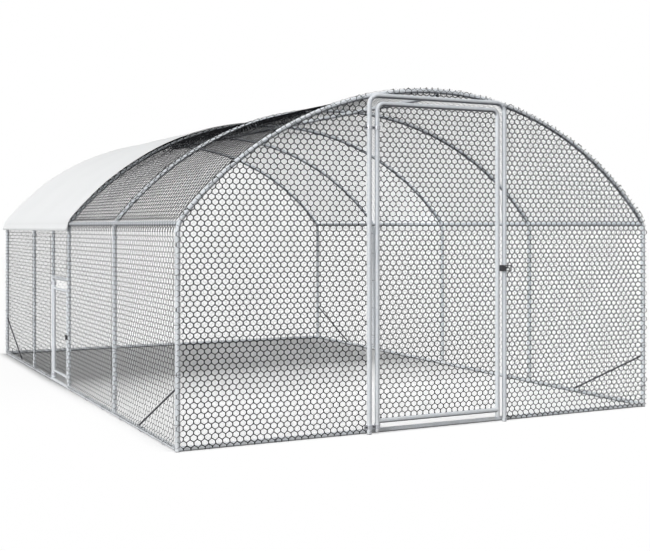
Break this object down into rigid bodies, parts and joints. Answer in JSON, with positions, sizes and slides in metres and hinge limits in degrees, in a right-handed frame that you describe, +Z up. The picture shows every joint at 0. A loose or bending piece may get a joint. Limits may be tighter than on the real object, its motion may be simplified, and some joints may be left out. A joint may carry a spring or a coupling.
{
  "type": "dome chicken coop",
  "caption": "Walk-in dome poultry run: arched steel tube frame with hexagonal wire net walls and roof, a hinged front door, a low side hatch and a weather cover over the rear half.",
  "frame": {"origin": "middle of the footprint on the floor", "axes": "+Z up, the door faces -Y, the hatch is in the -X wall"},
  "size_m": [3.021, 4.277, 1.8303],
  "materials": {
    "galvanised_tube": "galvanised steel tube, satin",
    "net_wire": "galvanised hexagonal wire net, dull",
    "zinc_hardware": "zinc plated, satin",
    "black_metal": "black coated steel",
    "black_plastic": "black moulded plastic",
    "cover_sheet": "coated woven sheet, white outside, soft wrinkles"
  },
  "bodies": {
    "frame": {"post_left_1": "galvanised_tube", "post_left_2": "galvanised_tube", "post_left_3": "galvanised_tube", "post_left_4": "galvanised_tube", "post_left_5": "galvanised_tube", "post_right_1": "galvanised_tube", "post_right_2": "galvanised_tube", "post_right_3": "galvanised_tube", "post_right_4": "galvanised_tube", "post_right_5": "galvanised_tube", "arch_left_1": "galvanised_tube", "arch_left_2": "galvanised_tube", "arch_left_3": "galvanised_tube", "arch_left_4": "galvanised_tube", "arch_left_5": "galvanised_tube", "arch_right_1": "galvanised_tube", "arch_right_2": "galvanised_tube", "arch_right_3": "galvanised_tube", "arch_right_4": "galvanised_tube", "arch_right_5": "galvanised_tube", "eave_rails_left": "galvanised_tube", "eave_rails_right": "galvanised_tube", "ridge_rail": "galvanised_tube", "base_rail_left": "galvanised_tube", "base_rail_right": "galvanised_tube", "base_rail_front": "galvanised_tube", "base_rail_rear": "galvanised_tube", "brace_front_left": "galvanised_tube", "brace_front_right": "galvanised_tube", "brace_rear_left": "galvanised_tube", "brace_rear_right": "galvanised_tube", "door_jamb": "galvanised_tube", "hatch_jamb": "galvanised_tube", "hatch_crossbar": "galvanised_tube", "front_net_left": "net_wire", "front_net_right": "net_wire", "front_net_top": "net_wire", "rear_net": "net_wire", "right_net": "net_wire", "left_net_front": "net_wire", "left_net_rear": "net_wire", "left_net_hatch_top": "net_wire", "roof_net_front": "net_wire", "roof_net_rear": "net_wire", "door_hinge_straps": "zinc_hardware", "hatch_hinge_straps": "zinc_hardware", "frame_screws": "zinc_hardware", "hinge_bolts": "black_metal", "door_latch_stud": "black_metal", "hatch_latch_stud": "black_metal", "foot_caps": "black_plastic", "cover": "cover_sheet"},
    "door": {"door_leaf_frame": "galvanised_tube", "door_net": "net_wire", "door_latch_block": "black_plastic"},
    "door_loop": {"door_latch_loop": "black_metal"},
    "hatch": {"hatch_leaf_frame": "galvanised_tube", "hatch_net": "net_wire", "hatch_latch_block": "black_plastic"},
    "hatch_loop": {"hatch_latch_loop": "black_metal"}
  },
  "joints": [
    {"name": "door_swing", "type": "hinge", "parent": "frame", "child": "door", "pos_m": [-0.3875, -2.1145, 0.038], "axis": [0, 0, -1], "range_deg": [0, 120]},
    {"name": "door_loop_swing", "type": "hinge", "parent": "door", "child": "door_loop", "pos_m": [0.4275, -2.13225, 0.853], "axis": [0, 0, -1], "range_deg": [0, 100]},
    {"name": "hatch_swing", "type": "hinge", "parent": "frame", "child": "hatch", "pos_m": [-1.4875, 0.408, 0.05], "axis": [0, 0, -1], "range_deg": [0, 105]},
    {"name": "hatch_loop_swing", "type": "hinge", "parent": "hatch", "child": "hatch_loop", "pos_m": [-1.505, 0.008, 0.345], "axis": [0, 0, -1], "range_deg": [0, 100]}
  ]
}
